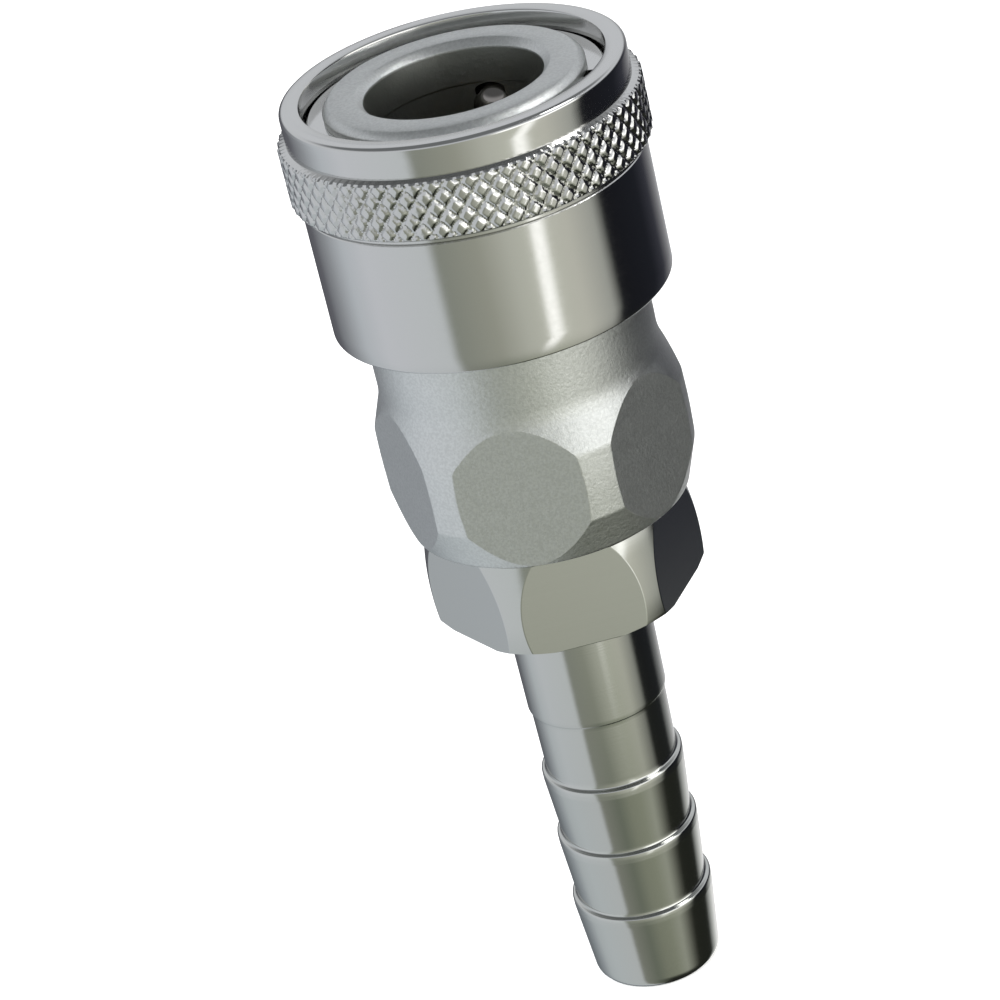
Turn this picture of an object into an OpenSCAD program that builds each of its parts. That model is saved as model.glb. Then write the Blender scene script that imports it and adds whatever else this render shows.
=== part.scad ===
// Pneumatic quick coupler: a push-to-connect socket that ends in a hose barb.
// The axis is Z. The origin is the centre of the barb's open end and the mouth faces +Z.
// Lengths are in millimetres, and angles round the axis run from +X towards +Y.

/* [Hose barb] */
// Distance from the open end to the last barb's shoulder
barb_tip_l = 7.5; // [6.5:0.25:12]
// Distance between two barb shoulders
barb_pitch = 6.25; // [5:0.25:9]
// Number of barbs
barb_count = 3; // [2:1:5]
// Diameter over the crests of the barbs
barb_d = 11.56; // [11:0.02:13]
// Height of each barb's shoulder
barb_step = 0.42; // [0.3:0.02:0.6]
// Length of the straight land behind each shoulder
barb_land = 0.8; // [0.5:0.1:1.5]
// Diameter of the open end before its rounding
tip_d = 10.3; // [9.2:0.1:10.8]
// Radius of the open end's outer edge
tip_round = 0.7; // [0.3:0.1:1]
// Bevel on each barb's edge
barb_bevel = 0.12; // [0.05:0.01:0.2]

/* [Adapter stem and hexagon] */
// Length from the hexagon to the first barb's shoulder
stem_l = 15.9; // [10:0.1:30]
// Diameter of the stem below the hexagon
stem_d = 11.48; // [11:0.02:13]
// Length of the thicker stretch of the stem
stem_collar_l = 9.8; // [4:0.1:9.9]
// Diameter lost along each stretch of the stem
stem_taper = 0.2; // [0:0.02:0.3]
// Diameter of the air passage through the adapter
air_d = 7.2; // [5:0.1:7.8]
// Hexagon across its flats
adapter_af = 19.5; // [18:0.5:24]
// Length of the hexagon
adapter_hex_l = 7.9; // [5:0.1:14]
// Turn of one flat from the front
adapter_turn = 1.5; // [-30:0.5:30]
// Diameter that the hexagon's corners are turned down to
adapter_corner_d = 21.6; // [20.8:0.1:22.2]
// Radius of the corners' rounded outline
adapter_arc_r = 30; // [22:1:40]
// Height of the corners' widest place above the hexagon's lower face
adapter_mid_h = 2.2; // [1:0.1:3]
// Bevel of the corners' lower edge
adapter_bevel = 0.3; // [0.1:0.05:0.5]
// Height of the collar that seats on the body's end
collar_h = 0.4; // [0.2:0.05:1]
// Diameter of the collar
collar_d = 18.6; // [18:0.1:18.8]
// Length of the screwed spigot above the collar
spigot_l = 7.8; // [6:0.1:10]

/* [Socket body] */
// Length from the body's lower end to its front face
body_l = 35.5; // [35:0.1:45]
// Diameter of the nose that the sleeve slides on
nose_d = 19.8; // [19.6:0.1:20.4]
// Diameter of the bore that takes the plug
bore_d = 13.6; // [13.2:0.05:13.8]
// Length of the bore's first straight land
entry_l = 2.8; // [2:0.1:3]
// Bevel of the bore's mouth
mouth_bevel = 0.55; // [0.3:0.05:0.8]
// Bevel of the nose's outer edge
nose_bevel = 0.5; // [0.2:0.05:0.6]
// Diameter of the neck between the sleeve and the barrel
neck_d = 21.8; // [21.4:0.1:21.9]
// Largest diameter of the barrel
barrel_d = 24.5; // [24.2:0.1:25]
// Radius of the barrel's rounded outline
barrel_arc_r = 13.2; // [12.8:0.1:16]
// Height of the barrel's widest place above the lower end
barrel_mid_h = 5.6; // [5:0.1:6.2]
// How far the barrel's outline comes in before it meets the bevel below the neck
barrel_top_in = 1.05; // [0.85:0.05:1.2]
// Height of the bevel below the neck
neck_bevel_h = 1.2; // [0.8:0.1:1.6]
// Spanner flats, across two of them
body_af = 22; // [21.9:0.1:23]
// Turn of one flat from the front
body_turn = -12; // [-30:1:30]
// Diameter of the screw thread between body and adapter
thread_d = 16.4; // [15.8:0.1:16.6]
// Diameter of the valve chamber
chamber_d = 15.2; // [14.8:0.1:15.4]

/* [Sleeve] */
// Length of the sleeve
sleeve_l = 18; // [17.6:0.1:20]
// Distance that the sleeve pulls back
sleeve_travel = 4; // [3:0.1:4.2]
// Distance from the sleeve's front down to the body's front face
face_recess = 0.3; // [0:0.05:0.6]
// Diameter of the plain rim
rim_d = 26.1; // [25.4:0.1:26.4]
// Height of the plain rim
rim_h = 2.4; // [1.5:0.1:3]
// Diameter over the knurling
knurl_d = 27.5; // [27:0.1:29]
// Height of the knurled band with its bevels
knurl_h = 4.9; // [3:0.1:7]
// Diameter of the smooth skirt
skirt_d = 26.2; // [25.4:0.1:26.6]
// Diameter of the recess inside the rim
recess_d = 23; // [22.8:0.1:23.4]
// Depth of the recess inside the rim
recess_depth = 2.4; // [2.3:0.05:2.8]
// Inner diameter of the skirt
skirt_in_d = 22.2; // [22.1:0.05:22.6]
// Length of the land that slides on the nose
guide_l = 1.55; // [1:0.05:1.8]
// Radius of the rim's outer edge
rim_round = 0.35; // [0.1:0.05:0.5]

/* [Lock] */
// Diameter of a lock ball
ball_d = 4; // [3.8:0.1:4]
// How far a ball stands into the bore when locked
ball_grip = 0.75; // [0.5:0.05:0.8]
// How far a ball moves out when released
ball_lift = 0.8; // [0.6:0.05:0.9]
// Depth of the balls below the body's front face
ball_depth = 5.6; // [5.6:0.1:6]
// Turn of the first ball from +X
ball_turn = 67; // [0:1:89]
// Height of the stop ring
ring_h = 1; // [0.8:0.05:1]
// Outer diameter of the stop ring
ring_d = 22.6; // [22.4:0.1:22.7]
// Depth of the ring's groove in the nose
ring_groove = 0.7; // [0.4:0.05:0.9]
// Width of the ring's open gap
ring_gap = 1.3; // [1:0.1:6]
// Turn of the ring's open gap from +X
ring_turn = 342; // [0:1:359]

/* [Springs] */
// Wire diameter of the sleeve spring
sleeve_wire = 1; // [0.8:0.05:1.1]
// Turns of the sleeve spring
sleeve_turns = 3.75; // [3:0.25:3.75]
// Wire diameter of the valve spring
valve_wire = 0.8; // [0.6:0.05:0.8]
// Turns of the valve spring
valve_turns = 4.5; // [3:0.5:4.5]
// Mean diameter of the valve spring
valve_coil_d = 8.4; // [8:0.1:8.6]

/* [Valve and seals] */
// Length of the plug seal along the bore
plug_seal_l = 2.9; // [2.4:0.1:3]
// Inner diameter of the plug seal's lip
plug_seal_in_d = 12.9; // [12.6:0.1:13.1]
// Diameter of the plug seal's groove
plug_groove_d = 17.2; // [16.8:0.1:17.4]
// Depth of the groove's middle below the body's front face
plug_seal_depth = 10.9; // [10.7:0.1:11.1]
// Depth of the valve seat below the body's front face
seat_depth = 14.7; // [14.4:0.1:15.2]
// Diameter of the hole through the valve seat
seat_d = 10.8; // [10.4:0.1:11.2]
// Diameter of the valve's head
head_d = 12.8; // [12.4:0.1:13.2]
// Height of the valve's head
head_h = 3.3; // [2.8:0.1:3.6]
// Outer diameter of the valve's hollow nose
valve_nose_d = 9.2; // [8.8:0.1:9.6]
// Inner diameter of the valve's hollow nose
valve_nose_in_d = 6.8; // [6:0.1:7.2]
// Length of the hollow nose above the seat
valve_nose_l = 5; // [4.6:0.1:5.4]
// Depth of the hollow nose's floor below the seat
nose_floor = 1.5; // [1.2:0.1:1.8]
// Diameter of the side ports in the nose
port_d = 2.4; // [1.8:0.1:2.6]
// Number of side ports
port_count = 4; // [3:1:6]
// Distance that a plug pushes the valve back
valve_travel = 3.5; // [3:0.1:3.5]
// Diameter of the valve's stem
valve_stem_d = 3.2; // [2.4:0.1:3.6]
// How far the valve's stem reaches below its guide
stem_drop = 1.8; // [1:0.1:2.4]
// Height of the valve seal
valve_seal_h = 0.76; // [0.6:0.02:1]
// Height of the valve guide's disc
guide_disc_h = 1.4; // [1.2:0.1:1.6]
// Diameter of the air holes in the valve guide
guide_hole_d = 2.1; // [1.6:0.1:2.1]
// Number of air holes in the valve guide
guide_hole_count = 6; // [4:1:8]
// Cord diameter of the adapter's sealing ring
adapter_seal_wire = 1; // [0.8:0.05:1.1]

/* [Clearances] */
// Radial clearance of a part that slides or turns in another
run_clear = 0.06; // [0.03:0.01:0.09]
// Radial clearance of the sleeve on the nose
sleeve_clear = 0.1; // [0.06:0.01:0.1]
// Gap between faces that rest on each other
seat_gap = 0.02; // [0.01:0.01:0.05]
// Gap round a part that sits loosely in a groove
groove_gap = 0.05; // [0.03:0.01:0.08]

/* [Hidden] */
$fn = 96;
BALL_COUNT = 4;
BALLS = [for (k = [1:BALL_COUNT]) str("lock_ball_", k)];

STEEL = [0.72, 0.73, 0.75];
SATIN = [0.62, 0.63, 0.64];
SPRING = [0.5, 0.52, 0.56];
RUBBER = [0.08, 0.08, 0.09];
BRASS = [0.78, 0.62, 0.28];

// Cuts run past the surface that they open by this much
CUT = 1;

// Heights along the axis, from the barb's open end to the mouth
first_shoulder_z = barb_tip_l + (barb_count - 1) * barb_pitch;
hex_z = first_shoulder_z + stem_l;
hex_top_z = hex_z + adapter_hex_l;
body_z = hex_top_z + collar_h;
face_z = body_z + body_l;
mouth_z = face_z + face_recess;
spigot_z = body_z + spigot_l;
ball_z = face_z - ball_depth;
seat_z = face_z - seat_depth;
plug_seal_z = face_z - plug_seal_depth;
sleeve_end_z = mouth_z - sleeve_l;

// The sleeve's inside: a recess, a cone that holds the balls in, a guide land and a spring room
recess_z = mouth_z - recess_depth;
ball_r = ball_d / 2;
ball_place_r = bore_d / 2 - ball_grip + ball_r;
cone_slope = ball_lift / sleeve_travel;
cone_at_ball_r = ball_place_r + (ball_r + run_clear) * sqrt(1 + cone_slope * cone_slope);
cone_top_r = cone_at_ball_r + cone_slope * (recess_z - ball_z);
guide_r = nose_d / 2 + sleeve_clear;
guide_z = ball_z - (cone_at_ball_r - guide_r) / cone_slope;
spring_top_z = guide_z - guide_l;
spring_room = sleeve_travel + sleeve_wire * (sleeve_turns + 0.5) + 0.75;
spring_z = spring_top_z - spring_room;

// The spring runs midway between the body's waist and the inside of the skirt
waist_r = nose_d / 2 - 0.4;
sleeve_coil_r = (waist_r + skirt_in_d / 2) / 2 - groove_gap;

// The stop ring hangs from the upper wall of its groove, just above the sleeve's shoulder
ring_z = recess_z + groove_gap;
ring_groove_r = nose_d / 2 - ring_groove;

head_z = seat_z - seat_gap - head_h;
guide_top_z = spigot_z + guide_disc_h;
boss_r = valve_coil_d / 2 - valve_wire / 2 - 0.5;
boss_h = 1;
stem_end_z = spigot_z - stem_drop;
port_z = seat_z + port_d / 2 + 0.4;
seal_in_d = valve_nose_d + 0.8;

// The barrel's arc is centred near the axis, and the bevel below the neck cuts it at barrel_top_z
barrel_axis_r = barrel_d / 2 - barrel_arc_r;
barrel_z = body_z + barrel_mid_h;
barrel_top_r = barrel_d / 2 - barrel_top_in;
barrel_top_z = barrel_z + sqrt(pow(barrel_arc_r, 2) - pow(barrel_top_r - barrel_axis_r, 2));

barb_root_d = barb_d - 2 * barb_step;
stem_mid_z = hex_z - stem_collar_l;

function arc(cx, cz, r, from, to, n) =
  [for (i = [0:n]) let (a = from + (to - from) * i / n) [cx + r * cos(a), cz + r * sin(a)]];

// A solid of revolution from [radius, height] points
module turned(points) {
  rotate_extrude()
    polygon(points);
}

// A compression spring with closed ends, its lowest point at height 0
module coil_spring(mean_r, wire_d, turns, height, sides, steps) {
  closed = 0.75;
  closed_rise = wire_d * 1.05;
  run = height - wire_d;
  active_rise = (run - 2 * closed * closed_rise) / (turns - 2 * closed);
  count = ceil(turns * steps);
  function rise(t) =
    t < closed ? t * closed_rise
    : t > turns - closed ? run - (turns - t) * closed_rise
    : closed * closed_rise + (t - closed) * active_rise;
  points = [
    for (i = [0:count], j = [0:sides - 1])
      let (t = turns * i / count, a = 360 * t, b = 360 * j / sides,
           r = mean_r + wire_d / 2 * cos(b))
        [r * cos(a), r * sin(a), wire_d / 2 + rise(t) + wire_d / 2 * sin(b)]
  ];
  skin = [
    for (i = [0:count - 1], j = [0:sides - 1])
      let (p = i * sides + j, q = i * sides + (j + 1) % sides)
        each [[p, q, p + sides], [q, q + sides, p + sides]]
  ];
  start_cap = [for (j = [1:sides - 2]) [0, j + 1, j]];
  last = count * sides;
  end_cap = [for (j = [1:sides - 2]) [last, last + j, last + j + 1]];
  polyhedron(points, concat(skin, start_cap, end_cap));
}

// The barrel is a stretch of a large circle, turned about the axis
module barrel() {
  rotate_extrude()
    intersection() {
      translate([barrel_axis_r, barrel_z])
        circle(r = barrel_arc_r);
      translate([0, body_z])
        square([barrel_d, sleeve_end_z - body_z]);
    }
}

// One ball's pocket: a round seat that keeps the ball out of the bore, and a straight way outwards
module ball_pocket() {
  translate([ball_place_r, 0, ball_z]) {
    sphere(r = ball_r + run_clear / 2);
    rotate([0, 90, 0])
      cylinder(r = ball_r + run_clear, h = nose_d / 2);
  }
}

module body_flats() {
  for (k = [0:5])
    rotate([0, 0, body_turn - 90 + 60 * k])
      translate([body_af / 2, -barrel_d / 2, body_z - CUT])
        cube([barrel_d, barrel_d, sleeve_end_z - sleeve_travel - body_z + CUT]);
}

module socket_body() {
  nose_r = nose_d / 2;
  neck_r = neck_d / 2;
  bevel_slope = (barrel_top_r - neck_r) / neck_bevel_h;
  bore_r = bore_d / 2;
  relief_r = bore_r + 0.2;
  entry_z = face_z - mouth_bevel - entry_l;
  groove_top_z = plug_seal_z + plug_seal_l / 2 + groove_gap;
  groove_z = plug_seal_z - plug_seal_l / 2 - groove_gap;
  rib_z = seat_z + 1.2;
  thread_top_z = spigot_z + 0.3;
  thread_r = thread_d / 2 + groove_gap;
  color(SATIN)
    difference() {
      union() {
        turned([
          [0, barrel_top_z - CUT], [barrel_top_r + CUT * bevel_slope, barrel_top_z - CUT],
          [neck_r, barrel_top_z + neck_bevel_h],
          [neck_r, spring_z - 0.3], [neck_r - 0.3, spring_z],
          [waist_r, spring_z], [waist_r, spring_top_z + 0.3],
          [nose_r, spring_top_z + 0.8], [nose_r, recess_z],
          [ring_groove_r, recess_z], [ring_groove_r, ring_z + ring_h + seat_gap],
          [nose_r, ring_z + ring_h + seat_gap], [nose_r, face_z - nose_bevel],
          [nose_r - nose_bevel, face_z], [0, face_z]
        ]);
        barrel();
      }
      turned([
        [0, body_z - CUT], [thread_r + 0.5, body_z - CUT],
        [thread_r + 0.5, body_z], [thread_r, body_z + 0.5],
        [thread_r, thread_top_z], [chamber_d / 2, thread_top_z + 0.6],
        [chamber_d / 2, seat_z], [seat_d / 2, seat_z],
        [seat_d / 2, rib_z], [bore_r, rib_z + 0.8],
        [bore_r, groove_z], [plug_groove_d / 2, groove_z],
        [plug_groove_d / 2, groove_top_z], [bore_r, groove_top_z],
        [bore_r, groove_top_z + 0.6], [relief_r, groove_top_z + 0.8],
        [relief_r, entry_z - 0.2], [bore_r, entry_z],
        [bore_r, face_z - mouth_bevel], [bore_r + mouth_bevel + CUT, face_z + CUT],
        [0, face_z + CUT]
      ]);
      body_flats();
      for (k = [0:BALL_COUNT - 1])
        rotate([0, 0, ball_turn + 360 / BALL_COUNT * k])
          ball_pocket();
    }
}

module sleeve() {
  rim_r = rim_d / 2;
  knurl_r = knurl_d / 2;
  skirt_r = skirt_d / 2;
  knurl_top_z = mouth_z - rim_h;
  knurl_z = knurl_top_z - knurl_h;
  color(STEEL)
    turned(concat(
      [[skirt_in_d / 2, sleeve_end_z], [skirt_r - 0.15, sleeve_end_z],
       [skirt_r, sleeve_end_z + 0.15], [skirt_r, knurl_z - 0.35],
       [skirt_r - 0.2, knurl_z - 0.2], [skirt_r - 0.2, knurl_z],
       [knurl_r - 0.15, knurl_z + 0.3], [knurl_r, knurl_z + 0.5],
       [knurl_r, knurl_top_z - 0.25], [knurl_r - 0.2, knurl_top_z - 0.05],
       [rim_r, knurl_top_z]],
      arc(rim_r - rim_round, mouth_z - rim_round, rim_round, 0, 90, 6),
      [[recess_d / 2 + 0.2, mouth_z], [recess_d / 2, mouth_z - 0.2],
       [recess_d / 2, recess_z], [cone_top_r, recess_z],
       [guide_r, guide_z], [guide_r, spring_top_z],
       [skirt_in_d / 2, spring_top_z]]
    ));
}

module sleeve_spring() {
  color(SPRING)
    translate([0, 0, spring_z + seat_gap])
      coil_spring(sleeve_coil_r, sleeve_wire, sleeve_turns, spring_room - 2 * seat_gap, 8, 24);
}

module stop_ring() {
  outer_r = ring_d / 2;
  inner_r = ring_groove_r + groove_gap;
  edge = 0.2;
  color(STEEL)
    difference() {
      turned([
        [inner_r, ring_z], [outer_r - edge, ring_z], [outer_r, ring_z + edge],
        [outer_r, ring_z + ring_h - edge], [outer_r - edge, ring_z + ring_h],
        [inner_r, ring_z + ring_h]
      ]);
      rotate([0, 0, ring_turn])
        translate([0, -ring_gap / 2, ring_z - CUT])
          cube([ring_d, ring_gap, ring_h + 2 * CUT]);
    }
}

module lock_ball(k) {
  color(STEEL)
    rotate([0, 0, ball_turn + 360 / BALL_COUNT * (k - 1)])
      translate([ball_place_r, 0, ball_z])
        sphere(r = ball_r);
}

// A rubber ring whose two lips lean into the bore
module plug_seal() {
  outer_r = plug_groove_d / 2 - groove_gap;
  lip_r = plug_seal_in_d / 2;
  half = plug_seal_l / 2;
  color(RUBBER)
    turned([
      [outer_r, plug_seal_z - half], [outer_r, plug_seal_z + half],
      [lip_r + 0.5, plug_seal_z + half], [lip_r, plug_seal_z + half - 0.5],
      [lip_r, plug_seal_z + 0.3], [lip_r + 0.3, plug_seal_z],
      [lip_r, plug_seal_z - 0.3], [lip_r, plug_seal_z - half + 0.5],
      [lip_r + 0.5, plug_seal_z - half]
    ]);
}

module valve() {
  nose_r = valve_nose_d / 2;
  nose_z = seat_z + valve_nose_l;
  pocket_z = seat_z - seat_gap - valve_seal_h - seat_gap;
  color(BRASS)
    difference() {
      turned([
        [0, stem_end_z], [valve_stem_d / 2 - 0.3, stem_end_z],
        [valve_stem_d / 2, stem_end_z + 0.3], [valve_stem_d / 2, head_z - boss_h],
        [boss_r, head_z - boss_h], [boss_r, head_z],
        [head_d / 2 - 0.3, head_z], [head_d / 2, head_z + 0.3],
        [head_d / 2, pocket_z], [seal_in_d / 2, pocket_z],
        [seal_in_d / 2, seat_z - seat_gap], [nose_r, seat_z + 0.3],
        [nose_r, nose_z - 0.4], [nose_r - 0.4, nose_z], [0, nose_z]
      ]);
      translate([0, 0, seat_z - nose_floor])
        cylinder(d = valve_nose_in_d, h = nose_floor + valve_nose_l + CUT);
      for (k = [0:port_count - 1])
        rotate([0, 0, 360 / port_count * k])
          translate([0, 0, port_z])
            rotate([0, 90, 0])
              cylinder(d = port_d, h = valve_nose_d);
    }
}

module valve_seal() {
  base_z = seat_z - seat_gap - valve_seal_h;
  inner_r = seal_in_d / 2 + seat_gap;
  outer_r = head_d / 2;
  color(RUBBER)
    turned([
      [inner_r, base_z], [outer_r, base_z], [outer_r, base_z + valve_seal_h - 0.2],
      [outer_r - 0.2, base_z + valve_seal_h], [inner_r, base_z + valve_seal_h]
    ]);
}

module valve_spring() {
  color(SPRING)
    translate([0, 0, guide_top_z + seat_gap])
      coil_spring(valve_coil_d / 2, valve_wire, valve_turns,
                  head_z - guide_top_z - 2 * seat_gap, 6, 20);
}

// A pierced disc that rests on the spigot, centres the valve's stem and carries its spring
module valve_guide() {
  outer_r = chamber_d / 2 - 0.1;
  hole_circle_r = (valve_coil_d / 2 + valve_wire / 2 + outer_r) / 2 - 0.1;
  color(BRASS)
    difference() {
      turned([
        [valve_stem_d / 2 + run_clear, spigot_z + seat_gap],
        [outer_r, spigot_z + seat_gap], [outer_r, guide_top_z],
        [boss_r, guide_top_z], [boss_r, guide_top_z + boss_h],
        [valve_stem_d / 2 + run_clear, guide_top_z + boss_h]
      ]);
      for (k = [0:guide_hole_count - 1])
        rotate([0, 0, 360 / guide_hole_count * k])
          translate([hole_circle_r, 0, spigot_z - CUT])
            cylinder(d = guide_hole_d, h = guide_disc_h + 2 * CUT);
    }
}

// The hexagon's corners are turned down to a slightly rounded outline
module adapter_hex() {
  corner_r = adapter_corner_d / 2;
  intersection() {
    translate([0, 0, hex_z])
      rotate([0, 0, adapter_turn])
        cylinder(d = adapter_af / cos(30), h = adapter_hex_l, $fn = 6);
    rotate_extrude()
      intersection() {
        translate([corner_r - adapter_arc_r, hex_z + adapter_mid_h])
          circle(r = adapter_arc_r);
        polygon([
          [0, hex_z], [corner_r - adapter_bevel, hex_z], [corner_r, hex_z + adapter_bevel],
          [corner_r, hex_top_z], [0, hex_top_z]
        ]);
      }
  }
}

module hose_adapter() {
  root_r = barb_root_d / 2;
  barb_r = barb_d / 2;
  spigot_r = thread_d / 2;
  groove_r = spigot_r - adapter_seal_wire - groove_gap;
  groove_z = body_z + 0.4;
  groove_top_z = groove_z + adapter_seal_wire + 4 * groove_gap;
  funnel_r = chamber_d / 2 - 0.7;
  air_r = air_d / 2;
  barbs = [
    for (k = [0:barb_count - 1])
      let (z = barb_tip_l + k * barb_pitch)
        each [[barb_r, z - barb_land], [barb_r, z - barb_bevel], [barb_r - barb_bevel, z],
              [root_r, z]]
  ];
  color(STEEL)
    difference() {
      union() {
        turned(concat(
          [[0, 0]],
          arc(tip_d / 2 - tip_round, tip_round, tip_round, -90, 0, 6),
          barbs,
          [[root_r + stem_taper / 2, stem_mid_z - 0.15], [stem_d / 2 - stem_taper / 2, stem_mid_z],
           [stem_d / 2, hex_z + CUT], [0, hex_z + CUT]]
        ));
        adapter_hex();
        turned([
          [0, hex_top_z - CUT], [collar_d / 2, hex_top_z - CUT], [collar_d / 2, body_z],
          [spigot_r - 0.3, body_z], [spigot_r - 0.3, groove_z],
          [groove_r, groove_z], [groove_r, groove_top_z],
          [spigot_r, groove_top_z], [spigot_r, spigot_z - 0.5],
          [spigot_r - 0.5, spigot_z], [0, spigot_z]
        ]);
      }
      turned([
        [0, -CUT], [air_r + 0.4 + CUT, -CUT], [air_r, 0.4],
        [air_r, spigot_z - (funnel_r - air_r)], [funnel_r, spigot_z],
        [funnel_r, spigot_z + CUT], [0, spigot_z + CUT]
      ]);
    }
}

module adapter_seal() {
  wire_r = adapter_seal_wire / 2;
  color(RUBBER)
    rotate_extrude()
      translate([thread_d / 2 - wire_r, body_z + 0.4 + wire_r + 2 * groove_gap])
        circle(r = wire_r);
}

socket_body();
sleeve();
sleeve_spring();
stop_ring();
for (k = [1:BALL_COUNT]) lock_ball(k);
plug_seal();
valve();
valve_seal();
valve_spring();
valve_guide();
hose_adapter();
adapter_seal();
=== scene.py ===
# Pneumatic quick coupler: the socket half of a push-to-connect air line coupling, with a hose barb.
# It stands upright on the barb's end, with the axis on Z and the mouth upwards.
import math

import bmesh
import bpy
from mathutils import Matrix, Vector


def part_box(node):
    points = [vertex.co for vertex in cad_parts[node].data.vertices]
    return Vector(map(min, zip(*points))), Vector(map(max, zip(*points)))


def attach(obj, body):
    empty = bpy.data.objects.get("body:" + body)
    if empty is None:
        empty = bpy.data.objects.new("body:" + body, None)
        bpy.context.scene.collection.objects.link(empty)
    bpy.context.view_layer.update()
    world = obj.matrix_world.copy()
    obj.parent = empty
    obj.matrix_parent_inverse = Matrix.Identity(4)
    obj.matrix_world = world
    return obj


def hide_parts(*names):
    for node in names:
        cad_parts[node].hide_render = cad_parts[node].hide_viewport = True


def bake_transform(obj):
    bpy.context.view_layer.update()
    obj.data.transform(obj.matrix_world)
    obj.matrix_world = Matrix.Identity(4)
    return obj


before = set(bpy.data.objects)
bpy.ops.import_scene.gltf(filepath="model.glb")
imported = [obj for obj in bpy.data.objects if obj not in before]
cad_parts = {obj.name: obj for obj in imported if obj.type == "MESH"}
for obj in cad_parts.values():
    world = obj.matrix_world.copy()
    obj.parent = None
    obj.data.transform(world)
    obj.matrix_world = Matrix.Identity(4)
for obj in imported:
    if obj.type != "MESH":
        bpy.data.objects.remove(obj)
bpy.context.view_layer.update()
MM = 0.001


# Camera
# A long lens above the coupler's front, tipped so that the axis leans across the picture.
LENS_MM = 129.6
SENSOR_MM = 36.0
LOOK_DOWN = 27.5
CAMERA_ROLL = 13.7
CAMERA_AT = Vector((-3.9, -248.2, 174.0)) * MM
NEAREST_SEEN = 10 * MM

camera = bpy.data.objects.new("camera", bpy.data.cameras.new("camera"))
bpy.context.scene.collection.objects.link(camera)
camera.data.lens = LENS_MM
camera.data.sensor_width = SENSOR_MM
camera.data.clip_start = NEAREST_SEEN
camera.matrix_world = (
    Matrix.Translation(CAMERA_AT)
    @ Matrix.Rotation(math.radians(90 - LOOK_DOWN), 4, "X")
    @ Matrix.Rotation(math.radians(-CAMERA_ROLL), 4, "Z")
)
bpy.context.scene.camera = camera
bpy.context.scene.view_settings.view_transform = "Standard"


# Sleeve
# The locking sleeve is free-cutting steel, turned, rolled with a diamond knurl and then plated with
# bright nickel. The plate copies the turning lines as faint rings and mirrors the studio in bands.
RIM_R = 13.05 * MM
RIM_ROUND = 0.35 * MM
RIM_FOOT = 0.08 * MM
RIM_ROWS = 3
KNURL_R = 13.75 * MM
KNURL_DEPTH = 0.22 * MM
KNURL_TOP_DROP = 2.4 * MM
KNURL_H = 4.9 * MM
KNURL_COUNT = 62
KNURL_ROW_H = 1.72 * MM
STEPS_PER_KNURL = 11
KNURL_STEP_H = 0.12 * MM
# How far a groove's side reaches, where 1 is halfway to the next groove: the rest is a flat top
KNURL_GROOVE = 0.48
# How steeply the knurled band's lower and upper bevels rise from the rim's radius
KNURL_LOW_SLOPE = 1.6
KNURL_TOP_SLOPE = 4
# The narrow undercut below the band, as [depth in the skirt, drop below the band] in mm
UNDERCUT = [(0, 0.34), (0.06, 0.27), (0.2, 0.22), (0.2, 0.03)]
SKIRT_R = 13.1 * MM
SKIRT_IN_R = 11.1 * MM
SKIRT_ROWS = 8
# A broken edge's size, and how far its middle stands in from the corner
EDGE = 0.15 * MM
EDGE_MIDDLE = 0.04 * MM
RECESS_R = 11.5 * MM
RECESS_DEPTH = 2.4 * MM
CONE_TOP_R = 10.85 * MM
GUIDE_R = 10.0 * MM
GUIDE_DROP = 6.65 * MM
GUIDE_H = 1.55 * MM
BRIGHT_HEX = "C8C8C6"
RING_RUN_MM = 50
PATTERN_LOW = 0.6
PATTERN_HIGH = 1.4
SHARP_ANGLE = 28
WELD = 0.0001 * MM


def linear(hex_colour):
    """A hex colour as the four linear numbers that a shader socket takes."""
    out = []
    for i in (0, 2, 4):
        c = int(hex_colour[i:i + 2], 16) / 255
        out.append(c / 12.92 if c <= 0.04045 else ((c + 0.055) / 1.055) ** 2.4)
    return (*out, 1.0)


def node(tree, kind, inputs=None, **settings):
    """Adds a node. inputs holds what each input gets, another node's output or a plain value.
    A setting that is an attribute of the node is set there, and any other is an input's value."""
    made = tree.nodes.new(kind)
    for key, value in settings.items():
        if hasattr(made, key):
            setattr(made, key, value)
        else:
            made.inputs[key.replace("_", " ")].default_value = value
    for socket, source in (inputs or {}).items():
        if isinstance(source, bpy.types.NodeSocket):
            tree.links.new(source, made.inputs[socket])
        else:
            made.inputs[socket].default_value = source
    return made


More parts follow.
